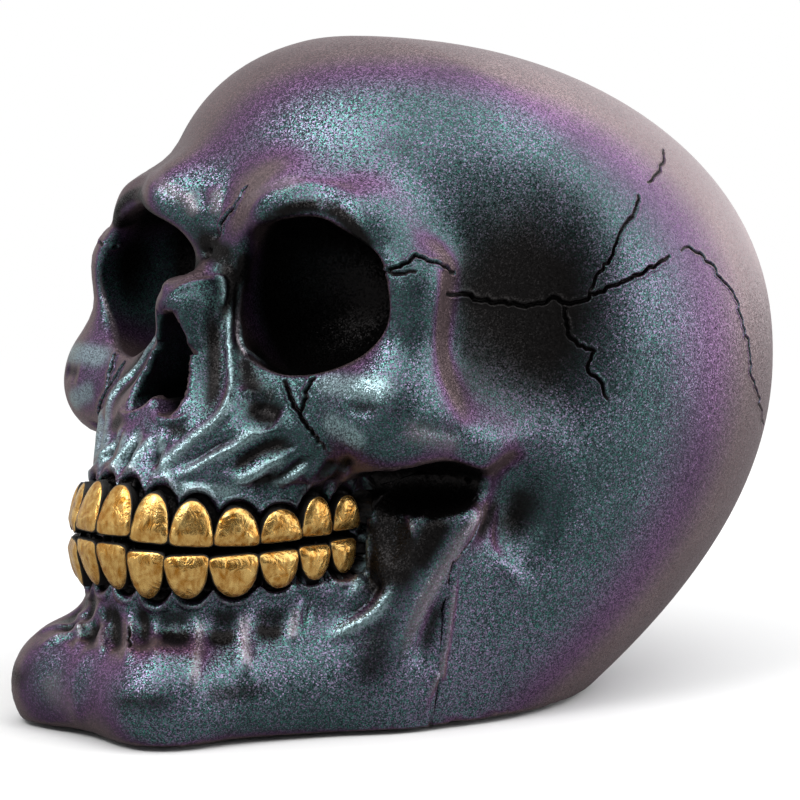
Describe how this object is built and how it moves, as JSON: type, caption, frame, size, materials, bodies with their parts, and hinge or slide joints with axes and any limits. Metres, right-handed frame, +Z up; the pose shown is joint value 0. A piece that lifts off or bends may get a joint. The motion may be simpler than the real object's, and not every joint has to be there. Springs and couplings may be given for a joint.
{
  "type": "skull ornament",
  "caption": "Free-standing cast skull ornament in colour-shift metallic paint, with gold teeth, deep eye sockets, a cracked cranium and a flat underside on felt pads.",
  "frame": {"origin": "middle of the ornament's box, on the surface that it stands on", "axes": "+Z up, the face looks along -Y, and the skull's own left side is +X"},
  "size_m": [0.12, 0.1664, 0.1263],
  "materials": {
    "paint": "cast resin under teal to violet colour-shift paint with fine metallic flake",
    "gold_leaf": "cast resin under brushed gold leaf with dark wash in the recesses",
    "bare_resin": "plain dark cast resin, matt",
    "felt": "black felt"
  },
  "bodies": {
    "root": {"skull_shell": "paint", "lower_jaw": "paint", "tooth_upper_left_1": "gold_leaf", "tooth_upper_left_2": "gold_leaf", "tooth_upper_left_3": "gold_leaf", "tooth_upper_left_4": "gold_leaf", "tooth_upper_left_5": "gold_leaf", "tooth_upper_left_6": "gold_leaf", "tooth_upper_left_7": "gold_leaf", "tooth_upper_right_1": "gold_leaf", "tooth_upper_right_2": "gold_leaf", "tooth_upper_right_3": "gold_leaf", "tooth_upper_right_4": "gold_leaf", "tooth_upper_right_5": "gold_leaf", "tooth_upper_right_6": "gold_leaf", "tooth_upper_right_7": "gold_leaf", "tooth_lower_left_1": "gold_leaf", "tooth_lower_left_2": "gold_leaf", "tooth_lower_left_3": "gold_leaf", "tooth_lower_left_4": "gold_leaf", "tooth_lower_left_5": "gold_leaf", "tooth_lower_left_6": "gold_leaf", "tooth_lower_left_7": "gold_leaf", "tooth_lower_right_1": "gold_leaf", "tooth_lower_right_2": "gold_leaf", "tooth_lower_right_3": "gold_leaf", "tooth_lower_right_4": "gold_leaf", "tooth_lower_right_5": "gold_leaf", "tooth_lower_right_6": "gold_leaf", "tooth_lower_right_7": "gold_leaf", "base_plate": "bare_resin", "felt_pad_front_left": "felt", "felt_pad_front_right": "felt", "felt_pad_rear_left": "felt", "felt_pad_rear_right": "felt"}
  },
  "joints": []
}
